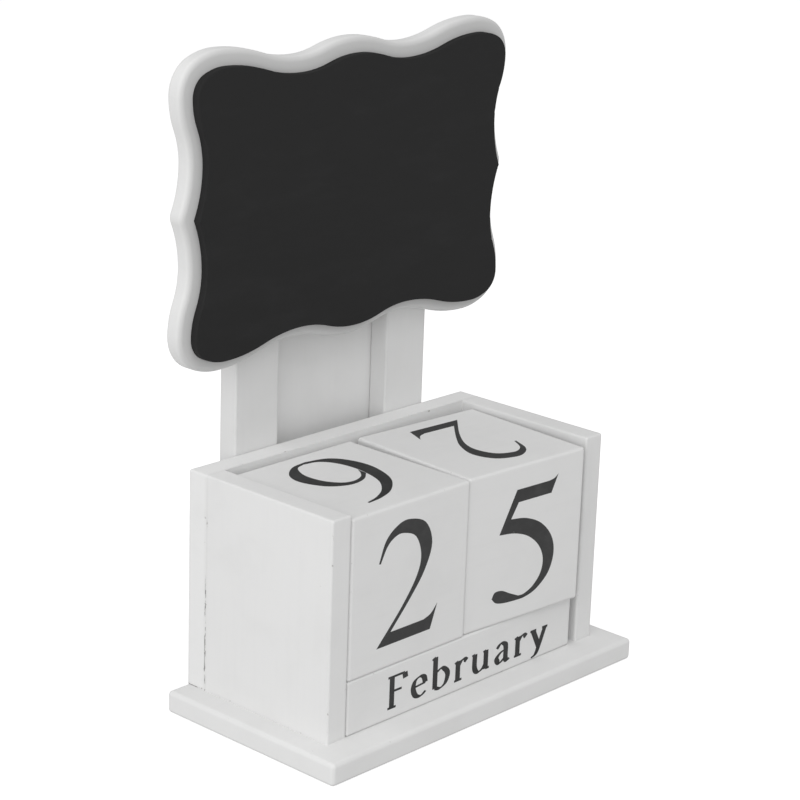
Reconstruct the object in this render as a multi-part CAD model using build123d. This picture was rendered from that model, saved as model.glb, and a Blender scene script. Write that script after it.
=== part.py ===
from build123d import *
from math import cos, radians, sin
import os

# Perpetual desk calendar: an open-fronted tray holds three month bars and two day blocks,
# and a wavy chalk plaque stands behind it on two posts.
# Millimetres, +Z up, the front faces -Y. The origin is at the bottom centre.

# loose pieces: three bars lie one behind the other under the two blocks
block_side = 49.5
depth_play = 1.9
bar_gap = 0.2
rear_clearance = 0.3
bar_side = (block_side + depth_play - 2 * bar_gap - rear_clearance) / 3
bar_length = 100.0
block_round = 0.9
bar_round = 0.7
left_clearance = 0.3
block_spacing = 0.4
right_clearance = 0.6
right_block_turn = 4.0
right_block_setback = 0.7

# tray
rim_above_blocks = 1.4
side_thickness = 7.6
back_thickness = 7.6
panel_round = 0.7

# base board
base_thickness = 7.0
side_overhang = 8.0
front_overhang = 10.4
base_round = 1.3

# posts and the board that ties them together
post_width = 17.7
post_thickness = 7.0
post_spacing = 46.6
post_top = 180.0
tie_width = 64.0
tie_thickness = 4.0
tie_bottom = 32.0
tie_top = 176.0
post_round = 0.7

# plaque board and the chalk panel on it, which sits a little low and to the right of its middle
plaque_middle = 151.0
plaque_rim = 4.1
plaque_thickness = 5.5
chalk_thickness = 2.5
chalk_drop = 0.6
chalk_aside = 0.5
plaque_front_round = 1.6
plaque_back_round = 1.0
chalk_round = 0.4

# the chalk panel's outline, a quarter of it: each inset or drop is from the lobe's widest or highest point
lobe_half_width = 64.6
lobe_half_height = 42.5
tip_inset = 0.8
waist_inset = 3.9
waist_height = 15.0
waist_bend_share = 0.56
corner_radius = 7.0
corner_drop = 8.0
lobe_inset = 11.6
valley_half_width = 22.5
valley_drop = 4.8
bump_drop = 1.3

# screws and brads: shank radius, length, head radius and head height
screw_radius = 1.5
screw_head_radius = 3.0
screw_head_height = 1.8
screw_point_share = 0.2
base_screw_length = 20.0
post_screw_length = 12.6
plaque_screw_radius = 1.3
plaque_screw_head_radius = 2.5
plaque_screw_length = 10.6
brad_radius = 0.7
brad_head_radius = 1.1
brad_head_height = 0.8
back_brad_length = 20.0
tie_brad_length = 9.0
sunk = 0.5
hole_clearance = 0.05

# where they go: shares of the tray's depth, heights above the table, insets from a post's edge
base_screw_shares = (0.22, 0.78)
back_brad_heights = (28.0, 45.0, 62.0)
post_screw_heights = (22.0, 60.0)
plaque_screw_rise = 22.0
post_screw_inset = 4.5
tie_brad_heights = (42.0, 88.0, 120.0, 166.0)
tie_brad_inset = 4.0

# how near a point has to be to count as lying in a face
tolerance = 0.01

# sizes that follow from the ones above
turned_width = block_side * (cos(radians(right_block_turn)) + sin(radians(right_block_turn)))
tray_width = left_clearance + block_side + block_spacing + turned_width + right_clearance
tray_depth = block_side + depth_play
box_width = tray_width + 2 * side_thickness
box_depth = tray_depth + back_thickness
block_bottom = base_thickness + bar_side
box_top = block_bottom + block_side + rim_above_blocks
total_depth = front_overhang + box_depth + post_thickness + tie_thickness
base_front = -total_depth / 2
box_front = base_front + front_overhang
box_back = box_front + box_depth
post_back = box_back + post_thickness
post_middle = (post_spacing + post_width) / 2


def rounded_block(width, depth, height, radius, square=()):
    """A board or block standing on z = 0, middle in x, front face at y = 0.

    The edges that lie in the faces named in square stay sharp, where another board meets it.
    """
    block = Box(width, depth, height, align=(Align.CENTER, Align.MIN, Align.MIN))
    faces = {
        "front": block.faces().sort_by(Axis.Y)[0],
        "rear": block.faces().sort_by(Axis.Y)[-1],
        "bottom": block.faces().sort_by(Axis.Z)[0],
    }
    edges = block.edges()
    for name in square:
        face = faces[name]
        edges = edges.filter_by(lambda edge: face.distance_to(edge.center()) > tolerance)
    return fillet(edges, radius)


def rod(radius, length, start, direction):
    """A plain cylinder from a start point along one direction."""
    plane = Plane(origin=start, z_dir=direction)
    return plane * Cylinder(radius, length, align=(Align.CENTER, Align.CENTER, Align.MIN))


def screw(radius, length, head_radius, head_height, start, direction, extra=0.0):
    """Countersunk screw: start is the middle of its flat head, direction is where it goes."""
    plane = Plane(origin=start, z_dir=direction)
    head = Cone(
        head_radius + extra,
        radius + extra,
        head_height + extra,
        align=(Align.CENTER, Align.CENTER, Align.MIN),
    )
    shank_length = length - head_height - radius
    shank = Cylinder(
        radius + extra,
        shank_length + extra,
        align=(Align.CENTER, Align.CENTER, Align.MIN),
    )
    point = Cone(
        radius + extra,
        radius * screw_point_share + extra,
        radius,
        align=(Align.CENTER, Align.CENTER, Align.MIN),
    )
    body = head + Pos(0, 0, head_height) * shank
    body = body + Pos(0, 0, head_height + shank_length) * point
    return plane * body


def brad(length, start, direction, extra=0.0):
    """Thin nail with a small flat head."""
    head = rod(brad_head_radius + extra, brad_head_height + extra, start, direction)
    shank = rod(brad_radius + extra, length + extra, start, direction)
    return head + shank


def sunk_hole(head_radius, start, direction):
    """Short round recess from outside the board's face down to a head that is set below it."""
    length = 2 * sunk
    outside = tuple(start[i] - direction[i] * length for i in range(3))
    return rod(head_radius + hole_clearance, length, outside, direction)


# Where each fastener's head lies and which way it points.
up = (0, 0, 1)
forward = (0, -1, 0)
side_middle = (box_width - side_thickness) / 2

base_screw_places = []
for side in (-1, 1):
    for along in base_screw_shares:
        base_screw_places.append((side * side_middle, box_front + along * tray_depth, sunk))
for side in (-1, 1):
    base_screw_places.append((side * post_middle, box_back - back_thickness / 2, sunk))

back_brad_places = []
for side in (-1, 1):
    for height in back_brad_heights:
        back_brad_places.append((side * side_middle, box_back - sunk, height))

post_screw_places = []
plaque_screw_places = []
for side in (-1, 1):
    x = side * (post_spacing / 2 + post_width - post_screw_inset)
    for height in post_screw_heights:
        post_screw_places.append((x, post_back - sunk, height))
    for rise in (-plaque_screw_rise, plaque_screw_rise):
        plaque_screw_places.append((x, post_back - sunk, plaque_middle + rise))

tie_brad_places = []
for side in (-1, 1):
    x = side * (post_spacing / 2 + tie_brad_inset)
    for height in tie_brad_heights:
        tie_brad_places.append((x, post_back + tie_thickness - sunk, height))


def base_screw(place, extra=0.0):
    return screw(
        screw_radius, base_screw_length, screw_head_radius, screw_head_height, place, up, extra
    )


def post_screw(place, extra=0.0):
    return screw(
        screw_radius, post_screw_length, screw_head_radius, screw_head_height, place, forward, extra
    )


def plaque_screw(place, extra=0.0):
    return screw(
        plaque_screw_radius,
        plaque_screw_length,
        plaque_screw_head_radius,
        screw_head_height,
        place,
        forward,
        extra,
    )


def back_brad(place, extra=0.0):
    return brad(back_brad_length, place, forward, extra)


def tie_brad(place, extra=0.0):
    return brad(tie_brad_length, place, forward, extra)


def bored(board, places, fastener, head_radius, direction):
    """The board with a fitted hole for every fastener of one kind."""
    for place in places:
        board = board - fastener(place, hole_clearance)
        board = board - sunk_hole(head_radius, place, direction)
    return board


def make_base_board():
    width = box_width + 2 * side_overhang
    board = rounded_block(width, front_overhang + box_depth, base_thickness, base_round)
    board = Pos(0, base_front, 0) * board
    return bored(board, base_screw_places, base_screw, screw_head_radius, up)


def make_side_panel(side):
    height = box_top - base_thickness
    square = ("rear", "bottom")
    panel = rounded_block(side_thickness, tray_depth, height, panel_round, square)
    panel = Pos(side * side_middle, box_front, base_thickness) * panel
    for place in base_screw_places:
        if place[0] * side > 0:
            panel = panel - base_screw(place, hole_clearance)
    for place in back_brad_places:
        if place[0] * side > 0:
            panel = panel - back_brad(place, hole_clearance)
    return panel


def make_back_panel():
    height = box_top - base_thickness
    square = ("front", "bottom")
    panel = rounded_block(box_width, back_thickness, height, panel_round, square)
    panel = Pos(0, box_back - back_thickness, base_thickness) * panel
    for place in base_screw_places:
        panel = panel - base_screw(place, hole_clearance)
    for place in post_screw_places:
        panel = panel - post_screw(place, hole_clearance)
    return bored(panel, back_brad_places, back_brad, brad_head_radius, forward)


def make_post(side):
    post = rounded_block(post_width, post_thickness, post_top, post_round)
    post = Pos(side * post_middle, box_back, 0) * post
    mine = [place for place in post_screw_places if place[0] * side > 0]
    post = bored(post, mine, post_screw, screw_head_radius, forward)
    mine = [place for place in plaque_screw_places if place[0] * side > 0]
    post = bored(post, mine, plaque_screw, plaque_screw_head_radius, forward)
    for place in tie_brad_places:
        if place[0] * side > 0:
            post = post - tie_brad(place, hole_clearance)
    return post


def make_tie_board():
    board = rounded_block(tie_width, tie_thickness, tie_top - tie_bottom, post_round)
    board = Pos(0, post_back, tie_bottom) * board
    return bored(board, tie_brad_places, tie_brad, brad_head_radius, forward)


def double_bend(start, end, heading, share=0.5):
    """Two arcs that leave both points along one heading and meet on the line between them."""
    middle = tuple(start[i] + share * (end[i] - start[i]) for i in range(2))
    back = (-heading[0], -heading[1])
    return [TangentArc(start, middle, tangent=heading), TangentArc(end, middle, tangent=back)]


def chalk_outline():
    """The wavy bracket outline: round lobes at the corners, a pointed tip on each side."""
    tip = (lobe_half_width - tip_inset, 0)
    waist = (lobe_half_width - waist_inset, waist_height)
    side = (lobe_half_width, lobe_half_height - corner_drop)
    lobe = (lobe_half_width - lobe_inset, lobe_half_height)
    valley = (valley_half_width, lobe_half_height - valley_drop)
    bump = (0, lobe_half_height - bump_drop)
    # the corner: a tight arc beside the lobe runs into a wider one above it
    across = side[0] - corner_radius - lobe[0]
    rise = lobe[1] - side[1]
    wide = (across**2 + rise**2 - corner_radius**2) / (2 * (rise - corner_radius))
    lean = across / (wide - corner_radius)
    joint = (lobe[0] + wide * lean, lobe[1] - wide * (1 - (1 - lean**2) ** 0.5))
    quarter = [TangentArc(waist, tip, tangent=(0, -1))]
    quarter += double_bend(waist, side, (0, 1), waist_bend_share)
    quarter += [TangentArc(side, joint, tangent=(0, 1)), TangentArc(lobe, joint, tangent=(1, 0))]
    quarter += double_bend(lobe, valley, (-1, 0))
    quarter += double_bend(valley, bump, (-1, 0))
    half = quarter + [mirror(edge, Plane.YZ) for edge in quarter]
    return make_face(Curve() + half + [mirror(edge, Plane.XZ) for edge in half])


def wavy_board(face, thickness, front, aside=0.0, drop=0.0):
    """The outline stood up in XZ, its front face at the given y."""
    plane = Plane(origin=(aside, front, plaque_middle - drop), x_dir=(1, 0, 0), z_dir=(0, -1, 0))
    return extrude(plane * face, -thickness)


def make_plaque_board():
    face = offset(chalk_outline(), amount=plaque_rim, kind=Kind.ARC)
    front = box_back - plaque_thickness
    board = wavy_board(face, plaque_thickness, front)
    front_edges = [edge for edge in board.edges() if edge.bounding_box().max.Y < front + tolerance]
    board = fillet(front_edges, plaque_front_round)
    back_edges = [edge for edge in board.edges() if edge.bounding_box().min.Y > box_back - tolerance]
    board = fillet(back_edges, plaque_back_round)
    for place in plaque_screw_places:
        board = board - plaque_screw(place, hole_clearance)
    return board


def make_chalk_panel():
    front = box_back - plaque_thickness - chalk_thickness
    panel = wavy_board(chalk_outline(), chalk_thickness, front, chalk_aside, chalk_drop)
    front_edges = [edge for edge in panel.edges() if edge.bounding_box().max.Y < front + tolerance]
    return fillet(front_edges, chalk_round)


def make_block(x, y, turn):
    """A day block standing on the bars, turned about its left front corner."""
    block = rounded_block(block_side, block_side, block_side, block_round)
    block = Pos(block_side / 2, 0, 0) * block
    return Pos(x, y, block_bottom) * Rot(0, 0, -turn) * block


def make_bar(number):
    """Month bars lie one behind the other: number 0 is the front one."""
    bar = rounded_block(bar_length, bar_side, bar_side, bar_round)
    x = -tray_width / 2 + left_clearance + bar_length / 2
    return Pos(x, box_front + number * (bar_side + bar_gap), base_thickness) * bar


left_block_x = -tray_width / 2 + left_clearance
right_block_x = left_block_x + block_side + block_spacing
right_block_y = box_front + right_block_setback

base_board = make_base_board()
left_side_panel = make_side_panel(-1)
right_side_panel = make_side_panel(1)
back_panel = make_back_panel()
left_post = make_post(-1)
right_post = make_post(1)
tie_board = make_tie_board()
plaque_board = make_plaque_board()
chalk_panel = make_chalk_panel()
left_block = make_block(left_block_x, box_front, 0.0)
right_block = make_block(right_block_x, right_block_y, right_block_turn)

pieces = {
    "base_board": base_board,
    "left_side_panel": left_side_panel,
    "right_side_panel": right_side_panel,
    "back_panel": back_panel,
    "left_post": left_post,
    "right_post": right_post,
    "tie_board": tie_board,
    "plaque_board": plaque_board,
    "chalk_panel": chalk_panel,
    "left_day_block": left_block,
    "right_day_block": right_block,
    "front_month_bar": make_bar(0),
    "middle_month_bar": make_bar(1),
    "rear_month_bar": make_bar(2),
    "base_screws": Compound([base_screw(place) for place in base_screw_places]),
    "back_panel_brads": Compound([back_brad(place) for place in back_brad_places]),
    "post_screws": Compound([post_screw(place) for place in post_screw_places]),
    "plaque_screws": Compound([plaque_screw(place) for place in plaque_screw_places]),
    "tie_board_brads": Compound([tie_brad(place) for place in tie_brad_places]),
}

os.makedirs("parts", exist_ok=True)
for name, piece in pieces.items():
    export_step(piece, "parts/" + name + ".step")
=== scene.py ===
import bpy
import math
import numpy as np
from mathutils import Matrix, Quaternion, Vector


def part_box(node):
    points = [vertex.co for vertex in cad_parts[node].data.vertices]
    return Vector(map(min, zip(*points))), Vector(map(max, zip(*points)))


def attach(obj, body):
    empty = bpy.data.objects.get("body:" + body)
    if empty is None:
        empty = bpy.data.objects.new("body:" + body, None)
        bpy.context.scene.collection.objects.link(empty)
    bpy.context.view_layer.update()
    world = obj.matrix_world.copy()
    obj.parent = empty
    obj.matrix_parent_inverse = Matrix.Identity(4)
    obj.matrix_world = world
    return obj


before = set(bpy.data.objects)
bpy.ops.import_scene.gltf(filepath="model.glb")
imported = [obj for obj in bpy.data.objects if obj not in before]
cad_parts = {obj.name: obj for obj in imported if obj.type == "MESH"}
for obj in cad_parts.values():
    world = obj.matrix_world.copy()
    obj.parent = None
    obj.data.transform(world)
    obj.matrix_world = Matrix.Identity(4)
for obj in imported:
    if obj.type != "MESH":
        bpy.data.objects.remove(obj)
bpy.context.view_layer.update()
mm = 0.001
noiseMean = 0.5
mixShare, mixFirst, mixSecond, mixResult = 0, 6, 7, 2      # sockets of a Mix node that blends colours
print("stage 1: frame loaded,", len(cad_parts), "nodes")


class Wire:
    # one socket of a shader node, with the usual signs of arithmetic
    def __init__(self, bench, socket):
        self.bench = bench
        self.socket = socket

    def sum(self, operation, *values):
        # one Math node on this socket and the other values
        inputs = dict(enumerate(values))
        return self.bench.add("ShaderNodeMath", {"operation": operation}, inputs)

    def __add__(self, other):
        return self.sum("ADD", self, other)

    def __sub__(self, other):
        return self.sum("SUBTRACT", self, other)

    def __rsub__(self, other):
        return self.sum("SUBTRACT", other, self)

    def __mul__(self, other):
        return self.sum("MULTIPLY", self, other)

    def __abs__(self):
        return self.sum("ABSOLUTE", self)

    def least(self, other):
        return self.sum("MINIMUM", self, other)

    def most(self, other):
        return self.sum("MAXIMUM", self, other)

    def between(self, low, high):
        # 0 below low, 1 above high, a soft rise from one to the other
        settings = {"interpolation_type": "SMOOTHSTEP"}
        inputs = {"Value": self, "From Min": low, "From Max": high}
        return self.bench.add("ShaderNodeMapRange", settings, inputs)


class Bench:
    # one material with its node tree
    def __init__(self, name):
        self.material = bpy.data.materials.new(name)
        self.material.use_nodes = True
        self.tree = self.material.node_tree
        self.tree.nodes.clear()

    def add(self, kind, settings=None, inputs=None, out=0):
        # any node: its type, its settings first, then values or links by socket, and the output wanted
        node = self.tree.nodes.new(kind)
        for key, value in (settings or {}).items():
            setattr(node, key, value)
        for key, value in (inputs or {}).items():
            if isinstance(value, Wire):
                self.tree.links.new(value.socket, node.inputs[key])
            else:
                node.inputs[key].default_value = value
        return Wire(self, node.outputs[out])

    def place(self, middle=(0, 0, 0), turn=0.0, stretch=(1, 1, 1)):
        # object coordinates, moved to a middle point, turned back and stretched
        spot = self.add("ShaderNodeTexCoord", out="Object")
        settings = {"vector_type": "TEXTURE"}
        inputs = {"Vector": spot, "Location": middle, "Rotation": (0, 0, turn), "Scale": stretch}
        return self.add("ShaderNodeMapping", settings, inputs)

    def axes(self, spot):
        # x, y and z of a point as three wires
        split = self.add("ShaderNodeSeparateXYZ", inputs={"Vector": spot})
        node = split.socket.node
        return [Wire(self, node.outputs[i]) for i in range(3)]

    def noise(self, spot, pattern, seed=0.0):
        # pattern is the size of a spot, the layers of detail, how rough they are, and a step for the seed
        size, detail, rough, step = pattern
        settings = {"noise_dimensions": "4D"}
        inputs = {"Vector": spot, "W": seed + step, "Scale": 1 / size, "Detail": detail, "Roughness": rough}
        return self.add("ShaderNodeTexNoise", settings, inputs)

    def blendColour(self, share, first, second):
        # the first colour where share is nothing, the second where it is one
        settings = {"data_type": "RGBA"}
        inputs = {mixShare: share, mixFirst: first, mixSecond: second}
        for key in (mixFirst, mixSecond):
            if isinstance(inputs[key], tuple):
                inputs[key] = (*inputs[key], 1)
        return self.add("ShaderNodeMix", settings, inputs, mixResult)

    def bump(self, height, depth, under=None):
        # height from 0 to 1 stands for a rise of depth, on top of the bump under it
        inputs = {"Height": height, "Distance": depth, "Strength": 1.0}
        if under is not None:
            inputs["Normal"] = under
        return self.add("ShaderNodeBump", inputs=inputs)

    def finish(self, inputs):
        # the surface shader with its inputs, joined to the output
        surface = self.add("ShaderNodeBsdfPrincipled", inputs=inputs)
        output = self.tree.nodes.new("ShaderNodeOutputMaterial")
        self.tree.links.new(surface.socket, output.inputs["Surface"])
        return self.material


def dress(node, material):
    # the CAD node keeps its shape and takes this finish
    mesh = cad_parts[node].data
    mesh.materials.clear()
    mesh.materials.append(material)


# White paint on wood. Four numbers are a noise pattern: size, detail, roughness and seed step.
# A pair is where a mask starts and where it is full.
paint = {
    "white": (0.765, 0.765, 0.762),
    "thin": (0.70, 0.70, 0.696),      # where the coat lets the board show through, and painted shade along the edges
    "bare": (0.42, 0.41, 0.39),       # inside a nick
    "split": (0.13, 0.125, 0.12),     # down in a crack
    "roughness": 0.66,
    "ior": 1.46,
    "stroke": (1.6 * mm, 4, 0.6, 0),  # brush strokes, this many times longer than wide
    "strokeLength": 22,
    "strokeThin": (0.45, 0.8),
    "strokeShow": 0.16,
    "strokeRough": 0.1,
    "strokeDepth": 0.028 * mm,
    "peel": (0.8 * mm, 2, 0.5, 3),
    "peelDepth": 0.018 * mm,
    "cloud": (16 * mm, 3, 0.55, 5),   # soft clouds in the coat
    "cloudThin": (0.42, 0.75),
    "cloudShow": 0.35,
    "cloudRough": 0.12,
    "edge": (0.3 * mm, 1.2 * mm),     # depths between which a face counts less and less as its edge
    "edgeFall": 0.07 * mm,
    # darker near every edge: partly wear, partly painted shade that dulls the highlights on the rounded
    # edges
    "wearAndShadeFrom": (0.5, 0.7),
    "wearAndShadeShow": 0.5,
    "wearAndShadeLeast": 0.45,
    "lump": (2.6 * mm, 2, 0.5, 7),    # the coat is uneven where it runs over an edge
    "lumpDepth": 0.09 * mm,
    "nick": (1.5 * mm, 3, 0.6, 9),
    "nickFrom": (0.76, 0.79),
    "nickAtEdge": 0.1,
    "nickShow": 0.75,
    "nickDepth": 2.0,                 # times a stroke's depth
    "nickRough": 0.25,
    "waver": (2.4 * mm, 3, 0.6, 11),  # where the coat has split over a joint
    "waverReach": 0.5 * mm,
    "crackEdge": (0.096 * mm, 0.32 * mm),
    "broken": (2.4 * mm, 2, 0.7, 13),
    "brokenFrom": (0.44, 0.54),
    "crackShow": 0.8,
    "crackDepth": 3.0,                # times a stroke's depth
    "crackFade": 6 * mm,              # and over this height at its top
    "endDepth": (0.8 * mm, 1.2 * mm), # a crack fades out this far inside the outer ends
    "paintedShadeFall": 1.5 * mm,            # painted shade on the front face ends this far back from it
}


def crackMask(bench, spot, seed, plane):
    # one near the plane of a joint and nothing off it, wavering and broken by noise, only below a height
    # and only on the outer ends, where the joint comes to light
    axis, place, reach = plane
    axes = bench.axes(bench.place())
    waver = bench.noise(spot, paint["waver"], seed)
    gap = abs(axes["xyz".index(axis)] - place + (waver - noiseMean) * paint["waverReach"])
    line = 1 - gap.between(*paint["crackEdge"])
    broken = bench.noise(spot, paint["broken"], seed).between(*paint["brokenFrom"])
    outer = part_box("back_panel")[1].x
    least, most = paint["endDepth"]
    onEnd = abs(axes[0]).between(outer - most, outer - least)
    return line * broken * onEnd * (1 - axes[2].between(reach - paint["crackFade"], reach))


def paintedWood(name, node, along="x", seed=0.0, turn=0.0, paintedLightTint=1.0, boxed=True, joints=(), front=1.0):
    # brush strokes run along the board; a fine peel, soft clouds in the coat, lumps and small nicks
    # near the edges, and cracks over the joints with the next boards
    bench = Bench(name)
    low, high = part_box(node)
    middle = (low + high) / 2
    stretch = [1.0, 1.0, 1.0]
    stretch["xyz".index(along)] = paint["strokeLength"]
    # painted light and shade: the tint makes this board's white and thin white lighter or darker for how
    # much light falls on the board
    white = tuple(part * paintedLightTint for part in paint["white"])
    thinWhite = tuple(part * paintedLightTint for part in paint["thin"])
    spot = bench.place(middle, turn)
    stroke = bench.noise(bench.place(middle, turn, stretch), paint["stroke"], seed)
    peel = bench.noise(spot, paint["peel"], seed)
    cloud = bench.noise(spot, paint["cloud"], seed)
    strokeShare = stroke.between(*paint["strokeThin"]) * paint["strokeShow"]
    thin = cloud.between(*paint["cloudThin"]) * paint["cloudShow"] + strokeShare
    colour = bench.blendColour(thin, white, thinWhite)
    # painted shade: when front is below one, the board's front face is darkened and the darkening fades out
    # a short way behind it, standing in for the shade falling on that face
    if front < 1.0:
        fromFront = bench.axes(bench.place())[1] - low.y
        dull = 1 - fromFront.between(0.0, paint["paintedShadeFall"])
        colour = bench.blendColour(dull, colour, tuple(part * front for part in white))
    meanRough = (paint["cloudRough"] + paint["strokeRough"]) * noiseMean
    rough = cloud * paint["cloudRough"] + stroke * paint["strokeRough"] + (paint["roughness"] - meanRough)
    height = stroke
    if boxed:
        # on a face one of the three depths is nothing, and the middle one of them tells how near an edge is;
        # a turned board is a cube, so its height gives all its half sizes
        half = (high - low) / 2
        if turn:
            half = Vector((half.z, half.z, half.z))
        x, y, z = [size - abs(axis) for axis, size in zip(bench.axes(spot), half)]
        nearEdge = x.least(y).most(x.most(y).least(z))
        edge = 1 - nearEdge.between(*paint["edge"])
        speck = bench.noise(spot, paint["nick"], seed)
        nick = (edge * paint["nickAtEdge"] + speck).between(*paint["nickFrom"])
        # darker near the edges: partly wear of the coat, partly painted shade over the edges' highlights
        worn = edge * (cloud.between(*paint["wearAndShadeFrom"]) * paint["wearAndShadeShow"] + paint["wearAndShadeLeast"])
        colour = bench.blendColour(worn, colour, thinWhite)
        colour = bench.blendColour(nick * paint["nickShow"], colour, paint["bare"])
        height = height - nick * paint["nickDepth"]
        rough = rough + nick * paint["nickRough"]
    for plane in joints:
        crack = crackMask(bench, spot, seed, plane)
        colour = bench.blendColour(crack * paint["crackShow"], colour, paint["split"])
        height = height - crack * paint["crackDepth"]
    normal = bench.bump(peel, paint["peelDepth"])
    if boxed:
        lump = bench.noise(spot, paint["lump"], seed)
        normal = bench.bump(edge * lump, paint["lumpDepth"], normal)
        normal = bench.bump(1 - edge, paint["edgeFall"], normal)
    normal = bench.bump(height, paint["strokeDepth"], normal)
    inputs = {"Base Color": colour, "Roughness": rough, "Normal": normal, "IOR": paint["ior"]}
    return bench.finish(inputs)


rightBlockTurn = math.radians(-4.0)
panelLow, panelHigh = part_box("left_side_panel")
leftCrackShare, rightCrackShare = 0.6, 0.5              # of the side panels' height
# each crack is its axis, its place on that axis, and the height that it ends at
leftCrack = ("y", panelHigh.y, panelHigh.z * leftCrackShare)
rightCrack = ("y", panelHigh.y, panelHigh.z * rightCrackShare)
footCrack = ("z", panelLow.z, panelHigh.z)
# each board's tint is painted light and shade: above one its white is painted lighter, below one painted
# darker, for how the light falls on it
boards = {
    "base_board": {},
    "left_side_panel": {"along": "z", "joints": [leftCrack]},
    "right_side_panel": {"along": "z", "joints": [rightCrack]},
    "back_panel": {"paintedLightTint": 1.04, "joints": [leftCrack, footCrack]},
    "left_post": {"along": "z", "paintedLightTint": 0.93},
    "right_post": {"along": "z", "paintedLightTint": 0.96},
    "tie_board": {"along": "z", "paintedLightTint": 1.05},
    # front is painted shade on the plaque's front face
    "plaque_board": {"boxed": False, "paintedLightTint": 0.96, "front": 0.81},
    "left_day_block": {},
    "right_day_block": {"turn": rightBlockTurn},
    "front_month_bar": {},
    "middle_month_bar": {},
    "rear_month_bar": {},
}
for seed, (node, finish) in enumerate(boards.items(), 1):
    dress(node, paintedWood("paint_" + node, node, seed=float(seed), **finish))
print("stage 2: boards painted,", len(boards))


# chalk panel
chalk = {
    "black": (0.0155, 0.0155, 0.0157),
    "dust": (0.023, 0.023, 0.0235),
    "roughness": 0.86,
    "specular": 0.22,
    "tooth": (0.35 * mm, 2, 0.5, 21),
    "toothFrom": (0.5, 0.8),
    "toothShow": 0.2,
    "toothDepth": 0.02 * mm,
    "wipe": (9 * mm, 4, 0.6, 22),     # dust wiped from side to side
    "wipeStretch": (3.0, 1.0, 1.0),
    "wipeFrom": (0.45, 0.8),
    "wipeShow": 0.6,
    "wipeRough": 0.1,
}


def chalkPaint():
    # matt black with a fine tooth and faint wiped clouds of dust
    bench = Bench("chalk_paint")
    low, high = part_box("chalk_panel")
    middle = (low + high) / 2
    tooth = bench.noise(bench.place(middle), chalk["tooth"])
    wiped = bench.noise(bench.place(middle, 0, chalk["wipeStretch"]), chalk["wipe"])
    toothShare = tooth.between(*chalk["toothFrom"]) * chalk["toothShow"]
    dust = wiped.between(*chalk["wipeFrom"]) * chalk["wipeShow"] + toothShare
    colour = bench.blendColour(dust, chalk["black"], chalk["dust"])
    rough = wiped * chalk["wipeRough"] + (chalk["roughness"] - chalk["wipeRough"] * noiseMean)
    normal = bench.bump(tooth, chalk["toothDepth"])
    inputs = {"Base Color": colour, "Roughness": rough, "Normal": normal}
    return bench.finish({**inputs, "Specular IOR Level": chalk["specular"]})


dress("chalk_panel", chalkPaint())


# screws and brads
steel = {
    "bright": (0.62, 0.62, 0.61),
    "dull": (0.36, 0.36, 0.35),
    "roughness": 0.27,                # at its smoothest
    "blotch": (1.2 * mm, 3, 0.6, 0),
    "blotchFrom": (0.35, 0.7),
    "blotchRough": 0.25,
    "scratch": (0.12 * mm, 2, 0.5, 2),
    "scratchStretch": (1, 12, 1),
    "scratchDepth": 0.008 * mm,
}


def zincPlate(name, seed):
    # blotchy plating with fine scratches
    bench = Bench(name)
    blotch = bench.noise(bench.place(), steel["blotch"], seed)
    scratch = bench.noise(bench.place(stretch=steel["scratchStretch"]), steel["scratch"], seed)
    colour = bench.blendColour(blotch.between(*steel["blotchFrom"]), steel["bright"], steel["dull"])
    rough = blotch * steel["blotchRough"] + steel["roughness"]
    normal = bench.bump(scratch, steel["scratchDepth"])
    return bench.finish({"Base Color": colour, "Metallic": 1.0, "Roughness": rough, "Normal": normal})


for node in ("base_screws", "post_screws", "plaque_screws"):
    dress(node, zincPlate("zinc_" + node, seed=31))
for node in ("back_panel_brads", "tie_board_brads"):
    dress(node, zincPlate("zinc_" + node, seed=41))
print("stage 3: chalk panel and fasteners finished")


# Print of the digits and month names. The pen's tip is an oval, wide and thin, held at a slant.
ink = {
    "black": (0.018, 0.018, 0.018),
    "worn": (0.05, 0.05, 0.05),
    "roughness": 0.5,
    "specular": 0.3,
    "cloud": (5 * mm, 3, 0.5, 2),
    "cloudFrom": (0.4, 0.75),
    "cloudShow": 0.5,
    "cloudRough": 0.15,
    "break": (1.1 * mm, 2, 0.5, 0),   # tiny breaks in the print
    "breakFrom": (0.76, 0.8),
    "breakShow": 0.6,
    "breakDepth": 0.01 * mm,
    "height": 0.02 * mm,              # the print stands this far above the paint
    "layer": 0.002 * mm,              # and each later stroke of a sign a little further
    "curveRows": 12,                  # points between two given ones of a curve
    "digitRows": 41,                  # cross-sections along a digit's stroke
    "penRows": 7,                     # cross-sections between two given points of a pen's path
    "penWidth": 1.68,
    "penEdge": 0.52,
    "penSlant": math.radians(18),
    "letterStretch": 1.3,
    "letterSpace": 1.8,
    "capHeight": 10.2,
}

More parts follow.
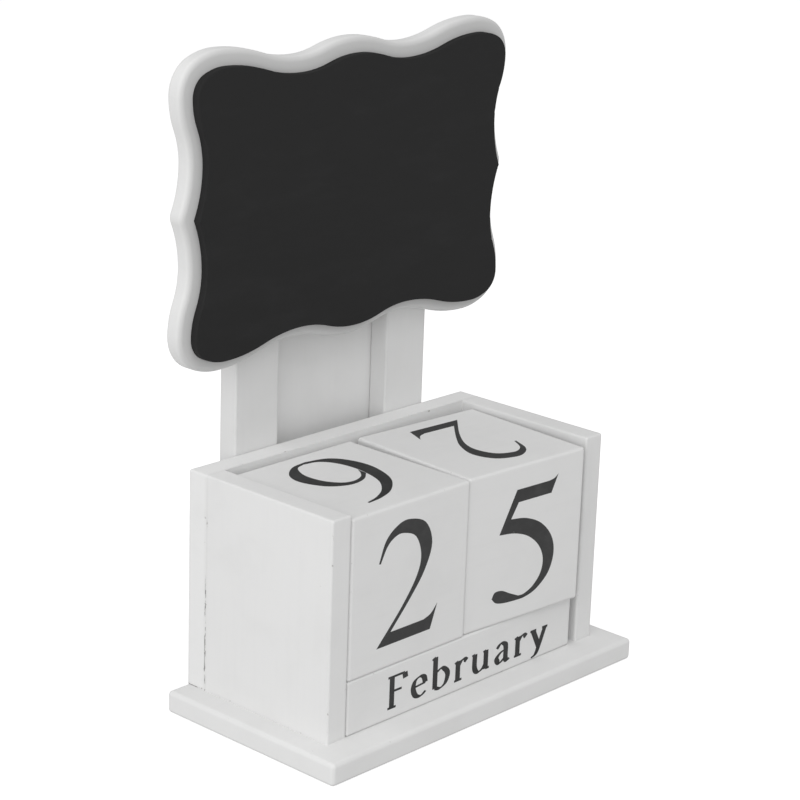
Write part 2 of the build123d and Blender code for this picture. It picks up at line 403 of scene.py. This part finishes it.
# A stroke is the space between two edges, which run smoothly through a few points in millimetres.
digitStrokes = {
    "0": [
        ([(13.5, 37), (7.6, 35.4), (2.6, 29.4), (0, 18.5), (2.2, 7.8), (6.8, 1.8), (12.5, 0)],
         [(14.3, 35.9), (10, 34.6), (6.6, 28.8), (5, 18.5), (5.6, 8.6), (8, 2.8), (11.7, 1.1)]),
        ([(11.7, 1.1), (16, 2.4), (19.4, 8.2), (21, 18.5), (20.4, 28.4), (18, 34.2), (14.3, 35.9)],
         [(12.5, 0), (18.4, 1.6), (23.4, 7.6), (26, 18.5), (23.8, 29.2), (19.2, 35.2), (13.5, 37)]),
    ],
    "1": [
        ([(10.8, 0.8), (10.8, 33)], [(15.4, 0.8), (15.4, 37.2)]),
        ([(3.6, 30.2), (8.5, 31.2), (11, 29.6)], [(3.6, 31.2), (9.5, 33.4), (15.4, 37.2)]),
        ([(4.6, 0), (21.6, 0)], [(4.6, 0.9), (13.1, 2.4), (21.6, 0.9)]),
    ],
    "2": [
        ([(0, 26.1), (2.6, 32.4), (6.8, 35.8), (11.9, 36.9), (19.2, 34.3), (22.3, 27.3), (19.5, 19.5),
          (13.8, 12.3), (5.7, 3.8)],
         [(0.7, 25.9), (3.2, 30.4), (6, 32.6), (9.6, 33.2), (15.2, 30.9), (17.7, 24.8), (16.2, 18.6),
          (10.3, 10.6), (0, 0)]),
        ([(0, 0), (22.7, 0)], [(5.7, 3.8), (19.8, 3.8)]),
        ([(22.7, 0), (25.5, 7.5)], [(19.8, 3.8), (22.9, 4.9), (25.5, 7.5)]),
    ],
    "3": [
        ([(1.2, 29.6), (4.6, 35.2), (11, 37), (18.6, 34), (20.6, 28.6), (17, 22.8), (9, 19.2)],
         [(2, 29.2), (5, 32.6), (9.2, 33.6), (14.4, 31.6), (15.9, 27.4), (13.4, 23), (7.4, 20)]),
        ([(9, 21), (18.6, 19.6), (24.2, 15.4), (25, 9.6), (21.4, 3.4), (14, 0.2), (8.6, 0)],
         [(7.4, 19.4), (14, 18.4), (18.8, 14.8), (20.2, 9.6), (18, 4), (13.4, 1.4), (10.6, 1.2)]),
        ([(10.6, 1.2), (7.2, 2.9), (4.3, 4.5), (1.3, 4.6), (0, 2.8)],
         [(9.6, 0), (5.2, 0.3), (1.8, 1.1), (0, 2.8)]),
    ],
    "4": [
        ([(17.4, 37.2), (0, 11.6)], [(18.4, 33.4), (3.6, 11.2)]),
        ([(0, 8.4), (25.6, 8.4)], [(0, 11.8), (26.6, 11.8)]),
        ([(15.6, 0), (15.6, 34)], [(20.2, 0), (20.2, 37.2)]),
    ],
    "5": [
        ([(9.8, 31.7), (23.9, 31.7)], [(8.9, 35.8), (22.7, 35.8)]),
        ([(23.9, 31.7), (26.6, 37.3)], [(22.7, 35.8), (24.9, 36.2), (26.6, 37.3)]),
        ([(8.9, 35.8), (2.1, 22.8)], [(9.8, 31.7), (6.8, 26.9)]),
        ([(6.8, 26.9), (13.4, 25.9), (20, 22.9), (24.8, 17.8), (26.3, 12), (24.4, 6), (19.4, 1.7),
          (14.3, 0.1), (9.6, 0)],
         [(2.1, 22.8), (8.6, 22), (14.6, 19.8), (19.4, 15.8), (21.6, 11), (20.8, 6.4), (17.6, 2.9),
          (14, 1.3), (11.6, 1.2)]),
        ([(11.6, 1.2), (7.7, 2.9), (4.3, 4.5), (1.3, 4.6), (0, 2.8)],
         [(9.6, 0), (5.2, 0.3), (1.8, 1.1), (0, 2.8)]),
    ],
    "6": [
        ([(23.9, 37.5), (17.6, 36.6), (10.6, 33.6), (3.6, 26.6), (0, 16.2), (1, 7.6), (5, 2), (12.6, 0)],
         [(23.9, 36.8), (18.4, 35.2), (12.6, 31.6), (7.6, 25.2), (5.2, 15.4), (6, 7.4), (9.2, 2.6),
          (14.3, 1.3)]),
        ([(12.6, 0), (19, 1.2), (24.6, 5.8), (26.2, 11.8), (23.4, 19), (18.6, 22.5), (14.2, 23.2),
          (9.6, 21.9), (5.8, 18.8)],
         [(14.3, 1.3), (18.2, 2.8), (21, 8.6), (20.4, 15.4), (17.4, 20), (13.8, 21.3), (9.8, 20.3),
          (7.2, 18), (5.4, 15)]),
    ],
    "7": [
        ([(2.6, 33.2), (20.6, 33.2)], [(4.2, 37), (25.4, 37)]),
        ([(0.6, 29.2), (2, 31.9), (2.6, 33.2)], [(0.6, 29.2), (3.4, 34), (4.2, 37)]),
        ([(20.6, 33.2), (14.6, 22), (9.4, 10), (6.8, 0)], [(25.4, 37), (17.8, 22), (13.4, 10), (11.4, 0)]),
    ],
    "8": [
        ([(13, 37), (8.6, 36.4), (4.4, 33.8), (2.6, 28.8), (5, 23.4), (13.4, 18.4), (18.8, 14.2), (20.9, 9),
          (19.6, 4), (16.6, 1.8), (13, 1.2)],
         [(13, 35.9), (9.8, 35), (7.4, 32.4), (6.8, 28.8), (9.2, 24.8), (16.4, 20.6), (23.2, 15.8),
          (25.6, 9), (23.4, 3.4), (18.6, 0.6), (13, 0)]),
        ([(13, 35.9), (16, 35), (18.2, 32.2), (18.7, 28.6), (17, 24.6), (13.4, 21.2)],
         [(13, 37), (17.8, 36.4), (21.6, 33.6), (22.8, 28.8), (20.2, 23.8), (15, 20.2)]),
        ([(13, 0), (7, 0.7), (2.2, 3.8), (0.4, 9.4), (3.2, 15.4), (10.8, 20.2)],
         [(13, 1.2), (9, 1.8), (5.8, 4.6), (4.8, 9.6), (7.2, 14.8), (13, 19.2)]),
    ],
}

# Each letter is its width and the pen's paths in millimetres, straight for two points and smooth for more.
letterPaths = {
    "A": (9.2, [[(4.4, 10.2), (1.3, 0.2)], [(4.2, 10.2), (8, 0.2)], [(2.4, 3.6), (6.6, 3.6)],
                [(0.2, 0.2), (2.5, 0.2)], [(6.6, 0.2), (9.2, 0.2)]]),
    "F": (6.6, [[(1.7, 9.9), (1.7, 0.2)], [(0.4, 9.9), (5.8, 9.9)], [(5.8, 9.9), (6.1, 8.1)],
                [(1.7, 5.3), (4.9, 5.3)], [(0.4, 0.2), (3.1, 0.2)]]),
    "J": (4.4, [[(2.7, 9.9), (2.7, 2.2), (2, -0.6), (0.2, -1.8)], [(1.3, 9.9), (4.1, 9.9)]]),
    "M": (11.2, [[(1.9, 9.9), (1.2, 0.2)], [(2, 9.9), (5.5, 0.7)], [(5.5, 0.7), (9, 9.9)],
                 [(9.1, 9.9), (9.7, 0.2)], [(0.2, 0.2), (2.4, 0.2)], [(8.4, 0.2), (11, 0.2)]]),
    "N": (9.8, [[(1.6, 9.9), (1.6, 0.2)], [(1.6, 9.9), (8.2, 0.2)], [(8.2, 9.9), (8.2, 0.2)],
                [(0.4, 0.2), (2.8, 0.2)], [(7, 9.9), (9.5, 9.9)], [(0.4, 9.9), (1.8, 9.9)]]),
    "O": (9.8, [[(4.9, 10), (1.9, 8.8), (0.9, 5), (1.9, 1.3), (4.9, 0.1)],
                [(4.9, 0.1), (7.9, 1.2), (8.9, 5), (7.9, 8.7), (4.9, 10)]]),
    "S": (6.2, [[(5, 8), (4.4, 9.6), (2.8, 10), (1.2, 8.6), (1.6, 6.4), (4.6, 4.2), (5.2, 2),
                 (3.4, 0.1), (1.4, 0.5), (0.7, 2.3)]]),
    "a": (5.6, [[(0.9, 5.2), (2.3, 6.5), (3.8, 5.8), (4.1, 4.2), (4.1, 1.2), (4.6, 0.2), (5.5, 0.6)],
                [(4.1, 4), (2.3, 3.5), (0.9, 1.9), (1.9, 0.2), (4.1, 1.5)]]),
    "b": (6.3, [[(1.3, 10.6), (1.3, 0.5)],
                [(1.3, 5.3), (3.6, 6.4), (5.5, 4.3), (5, 1.4), (3.2, 0.1), (1.3, 0.6)],
                [(0.2, 10), (1.3, 10.6)]]),
    "c": (5.2, [[(4.7, 5.6), (3.2, 6.5), (1.3, 5.5), (0.8, 3.2), (1.6, 0.9), (3.2, 0.2), (4.9, 1.2)]]),
    "e": (5.4, [[(0.9, 3.6), (4.8, 4)],
                [(4.8, 4), (4.3, 5.9), (2.9, 6.5), (1.3, 5.5), (0.8, 3.2), (1.6, 0.9), (3.3, 0.2),
                 (5, 1.2)]]),
    "g": (5.6, [[(2.6, 6.5), (1, 5.7), (1, 3.8), (2.5, 2.8)],
                [(2.5, 2.8), (4.1, 3.7), (4.1, 5.6), (2.6, 6.5)], [(3.8, 6.1), (5.4, 6.4)],
                [(1.9, 2.8), (1.1, 1.7), (2.6, 0.9), (4.6, 0.3), (4.8, -1.6), (2.6, -2.7), (0.7, -1.8),
                 (1.6, 0.7)]]),
    "h": (6.8, [[(1.3, 10.6), (1.3, 0.2)], [(1.3, 4.6), (3, 6.4), (4.9, 5.7), (5.3, 4), (5.3, 0.2)],
                [(0.2, 0.2), (2.5, 0.2)], [(4.2, 0.2), (6.5, 0.2)], [(0.2, 10), (1.3, 10.6)]]),
    "i": (2.9, [[(1.4, 6.4), (1.4, 0.2)], [(0.3, 0.2), (2.6, 0.2)], [(0.3, 5.9), (1.4, 6.4)],
                [(1.4, 9.4), (1.4, 8.3)]]),
    "l": (2.9, [[(1.4, 10.6), (1.4, 0.2)], [(0.3, 0.2), (2.6, 0.2)], [(0.3, 10), (1.4, 10.6)]]),
    "m": (10.8, [[(1.4, 6.4), (1.4, 0.2)], [(1.4, 4.6), (3, 6.4), (4.9, 5.7), (5.4, 4), (5.4, 0.2)],
                 [(5.4, 4.6), (7, 6.4), (8.9, 5.7), (9.4, 4), (9.4, 0.2)], [(0.3, 5.9), (1.4, 6.4)],
                 [(0.3, 0.2), (2.6, 0.2)], [(4.3, 0.2), (6.6, 0.2)], [(8.3, 0.2), (10.6, 0.2)]]),
    "n": (6.8, [[(1.4, 6.4), (1.4, 0.2)], [(1.4, 4.6), (3, 6.4), (4.9, 5.7), (5.4, 4), (5.4, 0.2)],
                [(0.3, 5.9), (1.4, 6.4)], [(0.3, 0.2), (2.6, 0.2)], [(4.3, 0.2), (6.6, 0.2)]]),
    "o": (6, [[(3, 6.5), (1.4, 5.7), (0.8, 3.3), (1.4, 0.9), (3, 0.1)],
              [(3, 0.1), (4.6, 0.9), (5.2, 3.3), (4.6, 5.7), (3, 6.5)]]),
    "p": (6.4, [[(1.4, 6.4), (1.4, -2.8)],
                [(1.4, 5.3), (3.6, 6.4), (5.6, 4.3), (5.1, 1.4), (3.3, 0.1), (1.4, 0.6)],
                [(0.3, 5.9), (1.4, 6.4)], [(0.3, -2.8), (2.6, -2.8)]]),
    "r": (4.6, [[(1.4, 6.4), (1.4, 0.2)], [(1.4, 4.5), (2.5, 6), (3.5, 6.4), (4.4, 5.6)],
                [(0.3, 5.9), (1.4, 6.4)], [(0.3, 0.2), (2.8, 0.2)]]),
    "s": (4.6, [[(3.8, 5.2), (2.6, 6.5), (1.1, 5.6), (1.6, 4), (3.5, 2.7), (3.9, 1.2), (2.5, 0.1),
                 (0.7, 1.4)]]),
    "t": (4.1, [[(1.6, 8.2), (1.6, 1.4), (2.4, 0.2), (3.8, 0.8)], [(0.3, 6.3), (3.6, 6.3)]]),
    "u": (6.8, [[(1.3, 6.3), (1.3, 1.9), (2.4, 0.2), (4, 0.7), (5.2, 2.2)], [(5.2, 6.3), (5.2, 0.3)],
                [(0.3, 6.1), (1.3, 6.3)], [(4.2, 6.1), (5.2, 6.3)], [(5.2, 0.4), (6.4, 0.4)]]),
    "v": (6.2, [[(1, 6.3), (3.2, 0.2)], [(5.3, 6.3), (3.1, 0.2)],
                [(0, 6.3), (2.1, 6.3)], [(4.3, 6.3), (6.2, 6.3)]]),
    "y": (6.2, [[(1, 6.3), (3.3, 0.4)], [(5.3, 6.3), (3.3, 0.6), (2.2, -1.8), (0.7, -2.6)],
                [(0, 6.3), (2.1, 6.3)], [(4.3, 6.3), (6.2, 6.3)]]),
}


def smoothLine(points, perSpan):
    # a curve through the points: each span is a cubic that leaves and arrives along its neighbours' line
    points = np.array(points, float)
    if len(points) == 2:
        share = np.linspace(0, 1, perSpan + 1)[:, None]
        return points[0] * (1 - share) + points[1] * share
    padded = np.vstack((2 * points[0] - points[1], points, 2 * points[-1] - points[-2]))
    where = np.linspace(0, len(points) - 1, perSpan * (len(points) - 1) + 1)
    span = np.minimum(where.astype(int), len(points) - 2)
    t = (where - span)[:, None]
    before, start, end, after = (padded[span + i] for i in range(4))
    bend = (2 * before - 5 * start + 4 * end - after) * t + (3 * (start - end) + after - before) * t**2
    return start + ((end - before) + bend) * t / 2


def betweenEdges(edges, rows):
    # both edges with the same number of rows, whatever their number of points
    sides = []
    for points in edges:
        line = smoothLine(points, ink["curveRows"])
        along = np.linspace(0, 1, len(line))
        share = np.linspace(0, 1, rows)
        sides.append(np.column_stack([np.interp(share, along, line[:, i]) for i in range(2)]))
    return sides


def penEdges(path, rows, pen):
    # the width across the path is that of a slanting oval, so upright strokes are broad and level ones thin
    line = smoothLine(path, rows)
    heading = np.gradient(line, axis=0)
    angle = np.arctan2(heading[:, 1], heading[:, 0])
    off = angle - pen["penSlant"]
    half = np.hypot(pen["penWidth"] * np.sin(off), pen["penEdge"] * np.cos(off))[:, None] / 2
    across = np.column_stack((-np.sin(angle), np.cos(angle)))
    return [line + across * half, line - across * half]


def inkSolid(sides, top, bottom):
    # the profile is a flat oblong between the two edges, carried along them: four corners a row,
    # closed at both ends
    left, right = sides
    rows = len(left)
    corners = np.stack((
        np.column_stack((left, np.full(rows, bottom))),
        np.column_stack((right, np.full(rows, bottom))),
        np.column_stack((right, np.full(rows, top))),
        np.column_stack((left, np.full(rows, top))),
    ), axis=1).reshape(-1, 3)
    row = np.arange(rows - 1)[:, None] * 4
    side = np.arange(4)[None, :]
    quads = np.stack((row + side, row + (side + 1) % 4, row + 4 + (side + 1) % 4, row + 4 + side), axis=-1)
    caps = np.array([[3, 2, 1, 0], np.arange(4) + 4 * (rows - 1)])
    return corners, np.vstack((quads.reshape(-1, 4), caps))


def signShape(strokes):
    # all strokes of one sign in millimetres, each a shade higher than the one before so that no two
    # tops coincide
    points, faces, count = [], [], 0
    for number, sides in enumerate(strokes):
        top = ink["height"] / mm + number * ink["layer"] / mm
        corners, quads = inkSolid(sides, top, -ink["height"] / mm)
        points.append(corners)
        faces.append(quads + count)
        count += len(corners)
    return np.vstack(points), np.vstack(faces)


def digitShape(digit):
    # the digit's strokes, centred on their own box
    strokes = [betweenEdges(edges, ink["digitRows"]) for edges in digitStrokes[digit]]
    points, faces = signShape(strokes)
    middle = (points[:, :2].min(0) + points[:, :2].max(0)) / 2
    points[:, :2] -= middle
    return points, faces


def wordShape(word):
    # letters stand side by side with an even space, and the word is centred on the face
    strokes, start = [], 0.0
    for letter in word:
        width, paths = letterPaths[letter]
        for path in paths:
            sides = penEdges(path, ink["penRows"], ink)
            for side in sides:
                side[:, 0] = side[:, 0] * ink["letterStretch"] + start
            strokes.append(sides)
        start += width * ink["letterStretch"] + ink["letterSpace"]
    points, faces = signShape(strokes)
    points[:, 0] -= (start - ink["letterSpace"]) / 2
    points[:, 1] -= ink["capHeight"] / 2
    return points, faces


def inkFinish(name, seed):
    # near-black print with tiny breaks where the paint under it shows
    bench = Bench(name)
    spot = bench.place()
    speck = bench.noise(spot, ink["break"], seed)
    cloud = bench.noise(spot, ink["cloud"], seed)
    worn = cloud.between(*ink["cloudFrom"]) * ink["cloudShow"]
    colour = bench.blendColour(worn, ink["black"], ink["worn"])
    broken = speck.between(*ink["breakFrom"]) * ink["breakShow"]
    colour = bench.blendColour(broken, colour, paint["thin"])
    rough = cloud * ink["cloudRough"] + ink["roughness"]
    normal = bench.bump(speck, ink["breakDepth"])
    inputs = {"Base Color": colour, "Roughness": rough, "Normal": normal}
    return bench.finish({**inputs, "Specular IOR Level": ink["specular"]})


def makeSign(name, shape, face, body, material):
    # face is (middle, right, up, outward) in metres; the sign lies on it and faces outward
    points, faces = shape
    middle, right, up, outward = (np.array(part, float) for part in face)
    places = middle + mm * (points[:, :1] * right + points[:, 1:2] * up + points[:, 2:] * outward)
    mesh = bpy.data.meshes.new(name)
    mesh.from_pydata(places.tolist(), [], faces.tolist())
    mesh.materials.append(material)
    sign = bpy.data.objects.new(name, mesh)
    bpy.context.scene.collection.objects.link(sign)
    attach(sign, body)
    return sign


def boxFaces(node, halves, turn=0.0):
    # six faces of a block from its middle, half sizes and turn about the upright axis
    low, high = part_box(node)
    middle = (np.array(low) + np.array(high)) / 2
    ahead = np.array((math.sin(turn), -math.cos(turn), 0.0))
    aside = np.array((math.cos(turn), math.sin(turn), 0.0))
    above = np.array((0.0, 0.0, 1.0))
    x, y, z = halves
    return {
        "front": (middle + ahead * y, aside, above, ahead),
        "rear": (middle - ahead * y, -aside, above, -ahead),
        "right": (middle + aside * x, -ahead, above, aside),
        "left": (middle - aside * x, ahead, above, -aside),
        "top": (middle + above * z, aside, -ahead, above),
        "bottom": (middle - above * z, aside, ahead, -above),
    }


def shifted(face, aside=0.0, rise=0.0, stretch=1.0, upsideDown=False):
    # the same face with its sign moved in millimetres, squeezed or upside down
    middle, right, up, outward = face
    middle = middle + (right * aside + up * rise) * mm
    sign = -1 if upsideDown else 1
    return middle, right * sign * stretch, up * sign, outward


# digit of each face, with how it sits there
blocks = {
    "left": {
        "front": ("2", {"aside": -0.7, "rise": 0.8}),
        "top": ("6", {"aside": -0.6, "rise": 0.4, "upsideDown": True}),
        "rear": ("0", {}),
        "left": ("1", {}),
        "right": ("7", {}),
        "bottom": ("8", {}),
    },
    "right": {
        "front": ("5", {}),
        "top": ("2", {"aside": 0.8, "rise": 0.3, "stretch": 0.9, "upsideDown": True}),
        "rear": ("0", {}),
        "left": ("1", {}),
        "right": ("3", {}),
        "bottom": ("4", {}),
    },
}
blockTurns = {"left": 0.0, "right": rightBlockTurn}
blockLow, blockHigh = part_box("left_day_block")      # not turned, so its box gives both blocks' size
digitInk = inkFinish("digit_ink", seed=61)
for block, digits in blocks.items():
    faces = boxFaces(block + "_day_block", (blockHigh - blockLow) / 2, blockTurns[block])
    for side, (digit, sits) in digits.items():
        face = shifted(faces[side], **sits)
        makeSign(block + "_digit_" + side, digitShape(digit), face, block + "_block", digitInk)

# eleven months on three bars, four long faces each; the front bar's underside stays bare
monthInk = inkFinish("month_ink", seed=71)
months = {
    "front": {"front": "February", "top": "June", "rear": "October"},
    "middle": {"front": "January", "top": "May", "rear": "September", "bottom": "April"},
    "rear": {"front": "March", "top": "July", "rear": "November", "bottom": "August"},
}
frontWordAside = 2.6                  # millimetres to the right of the front bar's middle
for bar, names in months.items():
    node = bar + "_month_bar"
    barLow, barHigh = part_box(node)
    faces = boxFaces(node, (barHigh - barLow) / 2)
    if bar == "front":
        faces["front"] = shifted(faces["front"], frontWordAside)
    for side, word in names.items():
        makeSign("month_" + bar + "_" + side, wordShape(word), faces[side], bar + "_bar", monthInk)
print("stage 4: digits and month names printed")


# floor, light and camera
studio = {
    "floor": (0.86, 0.86, 0.86),
    "floorShade": 0.985,              # its clouds have this share of its brightness
    "floorCloud": (0.4, 2, 0.5, 51),
    "floorCloudShow": 0.3,
    "floorRoughness": 0.7,
    "floorGlow": 0.5,
    "floorRadius": 40.0,
    "floorCorners": 96,
    "sky": 0.55,
    "aim": (0.0, 0.0, 0.08),
    "lamps": {                        # place, size and power
        "key_light": ((-0.82, -0.50, 0.42), 0.8, 3.1),
        "side_light": ((-1.10, 0.10, 0.50), 0.8, 2.8),
        "top_light": ((-0.10, -0.60, 1.30), 1.0, 4.8),
    },
}


def makeFloor():
    # a large plain disc, a little self-lit as a light table is
    turns = np.linspace(0, 2 * np.pi, studio["floorCorners"], endpoint=False)
    ring = np.column_stack((np.cos(turns), np.sin(turns), np.zeros_like(turns))) * studio["floorRadius"]
    mesh = bpy.data.meshes.new("floor")
    mesh.from_pydata(ring.tolist(), [], [list(range(len(ring)))])
    bench = Bench("floor_board")
    cloud = bench.noise(bench.place(), studio["floorCloud"])
    pale = studio["floor"]
    shade = tuple(part * studio["floorShade"] for part in pale)
    colour = bench.blendColour(cloud * studio["floorCloudShow"], pale, shade)
    inputs = {"Base Color": colour, "Roughness": studio["floorRoughness"], "Emission Color": (1, 1, 1, 1)}
    mesh.materials.append(bench.finish({**inputs, "Emission Strength": studio["floorGlow"]}))
    floor = bpy.data.objects.new("floor", mesh)
    floor.visible_diffuse = False     # it looks bright but throws no light up at the object
    bpy.context.scene.collection.objects.link(floor)


def makeLight():
    # an even white sky and square lamps, each turned to face the object
    world = bpy.data.worlds.new("studio")
    bpy.context.scene.world = world
    world.use_nodes = True
    background = world.node_tree.nodes["Background"]
    background.inputs["Color"].default_value = (1, 1, 1, 1)
    background.inputs["Strength"].default_value = studio["sky"]
    for name, (place, width, power) in studio["lamps"].items():
        lamp = bpy.data.lights.new(name, "AREA")
        lamp.size = width
        lamp.energy = power
        light = bpy.data.objects.new(name, lamp)
        bpy.context.scene.collection.objects.link(light)
        light.location = place
        toObject = Vector(studio["aim"]) - light.location
        light.rotation_euler = toObject.to_track_quat("-Z", "Y").to_euler()


view = {
    "place": (-0.5118, -0.4685, 0.3068),
    "aim": (-0.0151, -0.0126, 0.0967),
    "roll": 1.99,                     # degrees
    "lens": 109.44,
    "sensor": 36.0,
    "nearest": 0.01,
    "farthest": 100.0,
}


def makeCamera():
    # it looks from its place at the aim point, then rolls about that line
    camera = bpy.data.objects.new("camera", bpy.data.cameras.new("camera"))
    bpy.context.scene.collection.objects.link(camera)
    camera.data.sensor_width = view["sensor"]
    camera.data.lens = view["lens"]
    camera.data.clip_start = view["nearest"]
    camera.data.clip_end = view["farthest"]
    camera.location = view["place"]
    heading = (Vector(view["aim"]) - camera.location).to_track_quat("-Z", "Y")
    camera.rotation_mode = "QUATERNION"
    camera.rotation_quaternion = heading @ Quaternion((0, 0, 1), math.radians(view["roll"]))
    bpy.context.scene.camera = camera


makeFloor()
makeLight()
makeCamera()
bpy.context.scene.view_settings.view_transform = "Standard"
print("stage 5: floor, light and camera in place")
